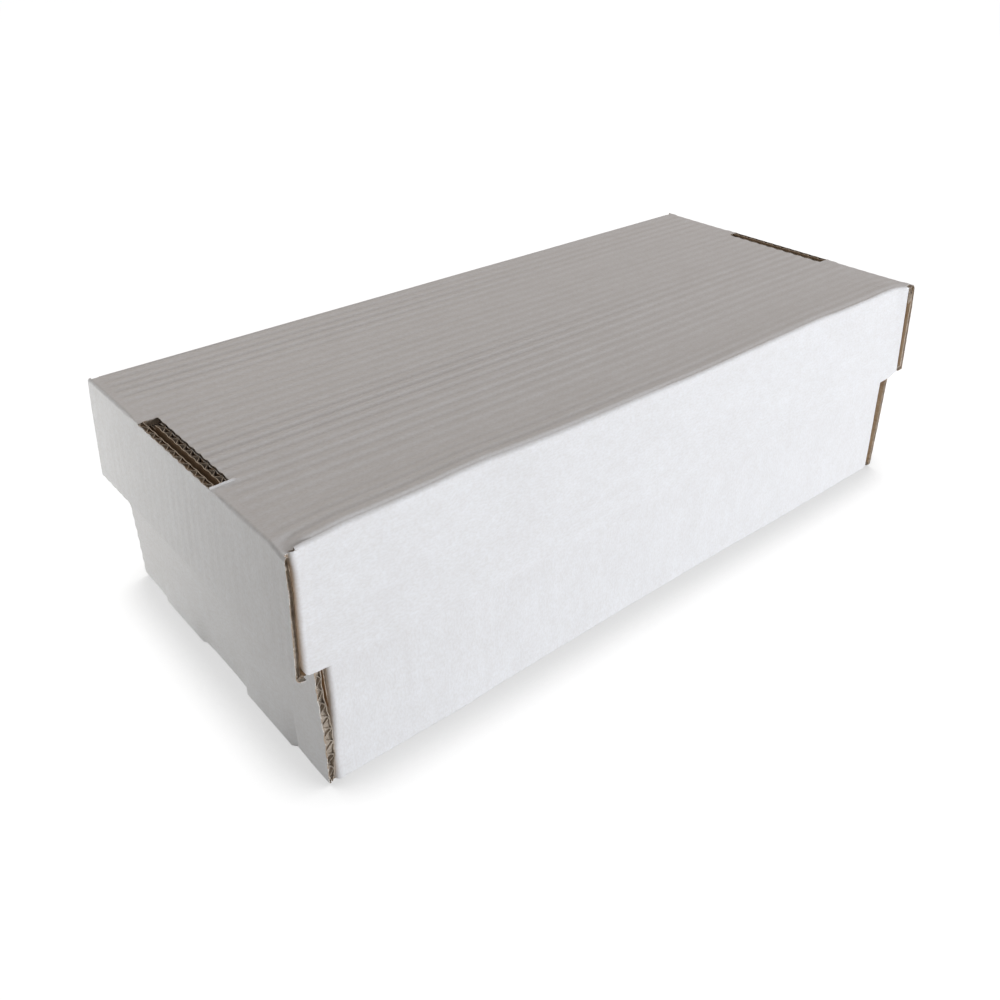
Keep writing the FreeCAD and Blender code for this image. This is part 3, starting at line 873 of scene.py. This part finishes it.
def white_liner():
    """White-topped liner: the brown stock shows through it faintly, fibre by fibre."""
    paper = Paper("white_liner", 0.62)
    clouds = paper.fibres(4, 7, 3, 0.55)
    mottle = paper.fibres(15, 26, 3, 0.6, 9.1)
    flecks = paper.fibres(60, 110, 5, 0.65, 3.7)
    colour = paper.mix(paper.ramp(clouds, 0.3, 0.7), (0.832, 0.822, 0.818), (0.858, 0.851, 0.850))
    colour = paper.mix(paper.ramp(mottle, 0.3, 0.7, 0.0, 0.22), colour, (0.70, 0.665, 0.63))
    colour = paper.mix(paper.ramp(flecks, 0.35, 0.75, 0.0, 0.32), colour, (0.62, 0.57, 0.51))
    shine = paper.ramp(flecks, 0.3, 0.7, 0.56, 0.68)
    return paper.finish(colour, flecks, 0.06, shine)


def kraft_liner():
    """Plain brown liner, with pale and dark threads along the flutes."""
    paper = Paper("kraft_liner", 0.8)
    clouds = paper.fibres(3, 9, 4, 0.6, 1.3)
    pale = paper.fibres(22, 150, 5, 0.7, 5.1)
    dark = paper.fibres(45, 210, 4, 0.6, 8.9)
    colour = paper.mix(paper.ramp(clouds, 0.3, 0.7), (0.36, 0.235, 0.135), (0.47, 0.33, 0.205))
    colour = paper.mix(paper.ramp(pale, 0.4, 0.75, 0.0, 0.55), colour, (0.56, 0.43, 0.29))
    colour = paper.mix(paper.ramp(dark, 0.6, 0.8, 0.0, 0.5), colour, (0.24, 0.14, 0.07))
    return paper.finish(colour, pale, 0.12)


def cut_edge(name, low, high, torn, share):
    """The cut through a liner, with torn fibres of another colour along it."""
    paper = Paper(name, 0.85)
    grain = paper.fibres(70, 70, 4, 0.6, 2.2)
    tears = paper.fibres(26, 26, 3, 0.6, 6.4)
    colour = paper.mix(paper.ramp(grain, 0.3, 0.7), low, high)
    colour = paper.mix(paper.ramp(tears, 0.58 - share, 0.62 - share), colour, torn)
    return paper.finish(colour, grain, 0.15)


def fluted_sheet(name, low, high, dark):
    """The rough brown paper between the liners, with darker patches."""
    paper = Paper(name, 0.88)
    grain = paper.fibres(55, 120, 4, 0.65, 4.4)
    patches = paper.fibres(14, 20, 3, 0.6, 7.7)
    colour = paper.mix(paper.ramp(grain, 0.3, 0.7), low, high)
    colour = paper.mix(paper.ramp(patches, 0.45, 0.75, 0.0, 0.6), colour, dark)
    return paper.finish(colour, grain, 0.12)


materials = [                          # in the order of the finishes
    white_liner(),
    kraft_liner(),
    cut_edge("cut_liner", (0.48, 0.39, 0.30), (0.66, 0.56, 0.45), (0.28, 0.20, 0.13), -0.03),
    fluted_sheet("fluted_sheet", (0.48, 0.39, 0.30), (0.70, 0.60, 0.49), (0.30, 0.22, 0.15)),
    fluted_sheet("inside_liner", (0.44, 0.36, 0.28), (0.62, 0.52, 0.42), (0.28, 0.21, 0.15)),
    # painted shade: near-black sides of the open flutes, for the dark inside the tubes
    fluted_sheet("flute_painted_shade", (0.10, 0.06, 0.035), (0.17, 0.11, 0.065), (0.06, 0.035, 0.02)),
    # the white liner's cut: its own pale colour, partly darkened as painted shade for the shaded
    # cut lines in the slots
    cut_edge("white_cut", (0.50, 0.45, 0.39), (0.74, 0.70, 0.65), (0.40, 0.30, 0.21), 0.07),
    # crushed board's own brown, painted darker as shade for the groove at the worn edge
    fluted_sheet("crushed_edge_and_shade", (0.36, 0.30, 0.235), (0.54, 0.465, 0.385), (0.18, 0.14, 0.10)),
]

base_board = board_object("base_board", base_tray, None, materials)
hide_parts("base_tray")
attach(base_board, "base")
lid_board = board_object("lid_board", lid_tray, BOX_TOP, materials)
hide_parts("lid")
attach(lid_board, "lid")

# ---------------------------------------------------------------- floor, light and camera

FLOOR_REACH = 4.0       # metres, as are the places of the lamps and the camera
FLOOR_DROP = 0.0003     # keeps the floor clear of the base's panel

scene = bpy.context.scene
scene.view_settings.view_transform = "Standard"


def floor_material():
    """A floor that lights the box from below, and is white but for the shadow round its foot."""
    material = bpy.data.materials.new("floor")
    nodes = Nodes(material)
    nodes.tree.nodes.clear()
    unseen = nodes.add("BsdfDiffuse", {"Color": (0.88, 0.88, 0.88, 1)})
    lamps = nodes.add("BsdfDiffuse", {"Color": (0.2, 0.2, 0.2, 1)})
    openness = nodes.add("AmbientOcclusion", {"Distance": 0.034}, samples=16)
    fade = nodes.add("MapRange", {"Value": openness.outputs["AO"], "From Min": 0.5,
                                  "From Max": 0.95, "To Min": 0.62, "To Max": 0.95},
                     interpolation_type="SMOOTHSTEP")
    glow = nodes.add("Emission", {"Strength": fade.outputs[0]})
    seen = nodes.add("AddShader", {0: lamps.outputs[0], 1: glow.outputs[0]})
    nodes.show_camera(seen, unseen, "OutputMaterial")
    return material


floor_mesh = bpy.data.meshes.new("floor")
corners = [(x * FLOOR_REACH, y * FLOOR_REACH, 0) for x, y in ((-1, -1), (1, -1), (1, 1), (-1, 1))]
floor_mesh.from_pydata(corners, [], [(0, 1, 2, 3)])
floor_mesh.materials.append(floor_material())
floor = bpy.data.objects.new("floor", floor_mesh)
floor.location.z = -FLOOR_DROP
scene.collection.objects.link(floor)

world = bpy.data.worlds.new("studio")
scene.world = world
sky = Nodes(world)
sky.tree.nodes.clear()
backdrop = sky.add("Background", {"Color": (1, 1, 1, 1), "Strength": 1.0})
fill = sky.add("Background", {"Color": (1, 1, 1, 1), "Strength": 0.25})
sky.show_camera(backdrop, fill, "OutputWorld")


def softbox(name, place, target, size, power, colour):
    """A rectangular lamp at a place, aimed at a target."""
    light = bpy.data.lights.new(name, "AREA")
    light.shape = "RECTANGLE"
    light.size, light.size_y = size
    light.energy = power
    light.color = colour
    holder = bpy.data.objects.new(name, light)
    holder.location = place
    aim = Vector(target) - Vector(place)
    holder.rotation_euler = aim.to_track_quat("-Z", "Y").to_euler()
    scene.collection.objects.link(holder)


middle, left_end = (0, 0, 0.06), (-0.19, 0.12, 0.05)
softbox("front", (0.62, -1.69, 0.2), middle, (1.0, 0.4), 24.3, (0.895, 0.935, 1.0))
softbox("high", (1.5, 0.3, 1.6), middle, (1.0, 1.0), 6.7, (1.0, 0.893, 0.866))
softbox("behind", (0.2, 1.5, 1.0), middle, (1.2, 0.8), 6.2, (1.0, 0.893, 0.80))
softbox("left", (-0.45, 0.25, 0.055), left_end, (0.2, 0.1), 0.455, (0.96, 0.99, 1.0))

camera_data = bpy.data.cameras.new("camera")
camera_data.lens = 37.39
camera_data.sensor_width = 36.0
camera_data.shift_x = 0.00746
camera_data.shift_y = -0.14183
camera = bpy.data.objects.new("camera", camera_data)
camera.location = (-0.32324, -0.34929, 0.31469)
camera.rotation_euler = Euler([math.radians(a) for a in (65.0969, 0.1293, -39.8565)])
scene.collection.objects.link(camera)
scene.camera = camera
